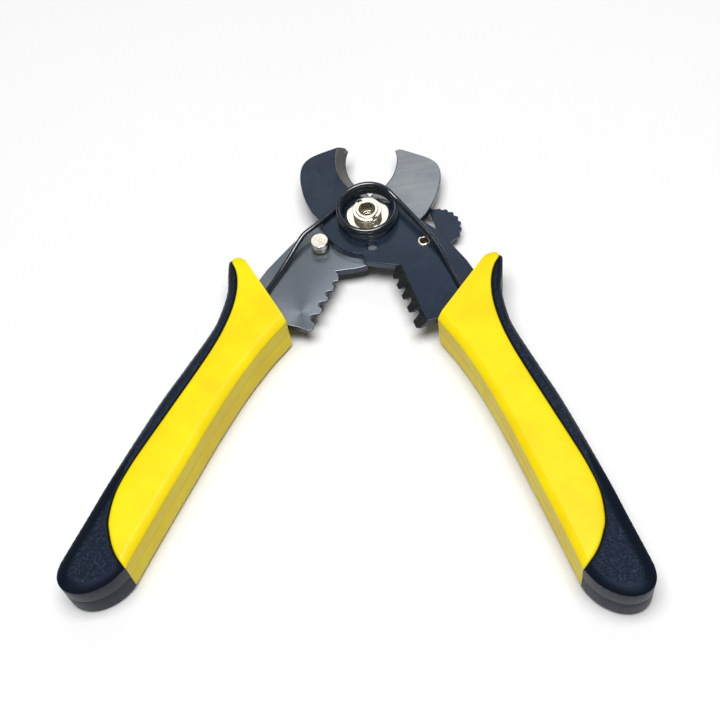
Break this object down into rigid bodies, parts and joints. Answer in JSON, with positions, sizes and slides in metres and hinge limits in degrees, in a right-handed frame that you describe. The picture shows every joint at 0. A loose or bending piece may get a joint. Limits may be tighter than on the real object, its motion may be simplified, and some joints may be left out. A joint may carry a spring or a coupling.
{
  "type": "wire stripper",
  "caption": "Crossed-lever wire stripper with a hollow-ground cable cutter, graded stripping notches, coil return spring, thumb lock and two-tone handles.",
  "frame": {"origin": "on the pivot axis, in the shear plane between the two levers", "axes": "+Z along the pivot axis towards the nut, +Y towards the cutting jaws, +X towards the handle of the upper lever; tool open at rest"},
  "size_m": [0.1798, 0.1748, 0.0184],
  "materials": {
    "ground_steel": "satin steel with ground bevels",
    "blued_steel": "glossy blue-black oxide with bare ground bevels",
    "nickel": "bright nickel plating",
    "spring_wire": "glossy black oiled spring wire",
    "dark_ring": "dull black",
    "yellow_shell": "semi-gloss bright yellow moulding",
    "black_grip": "fine-textured soft black moulding"
  },
  "bodies": {
    "lower_body": {"lower_lever": "ground_steel", "pivot_bolt": "nickel", "pivot_nut": "nickel", "pivot_washer": "nickel", "head_washer": "nickel", "torsion_spring": "spring_wire", "stop_stud": "nickel", "stud_ring": "dark_ring", "catch_pin": "nickel", "left_shell_top": "yellow_shell", "left_shell_bottom": "yellow_shell", "left_grip_top": "black_grip", "left_grip_bottom": "black_grip"},
    "upper_body": {"upper_lever": "blued_steel", "lock_rivet": "nickel", "lock_spacer": "nickel", "right_shell_top": "yellow_shell", "right_shell_bottom": "yellow_shell", "right_grip_top": "black_grip", "right_grip_bottom": "black_grip"},
    "lock_body": {"lock_lever": "blued_steel"}
  },
  "joints": [
    {"name": "main_pivot", "type": "hinge", "parent": "lower_body", "child": "upper_body", "pos_m": [0, 0, 0], "axis": [0, 0, -1], "range_deg": [0, 45], "stiffness_Nm_per_rad": 1.5, "deforming": ["torsion_spring"]},
    {"name": "lock_pivot", "type": "hinge", "parent": "upper_body", "child": "lock_body", "pos_m": [0.01984, -0.01168, -0.0039], "axis": [0, 0, 1], "range_deg": [0, 22]}
  ]
}
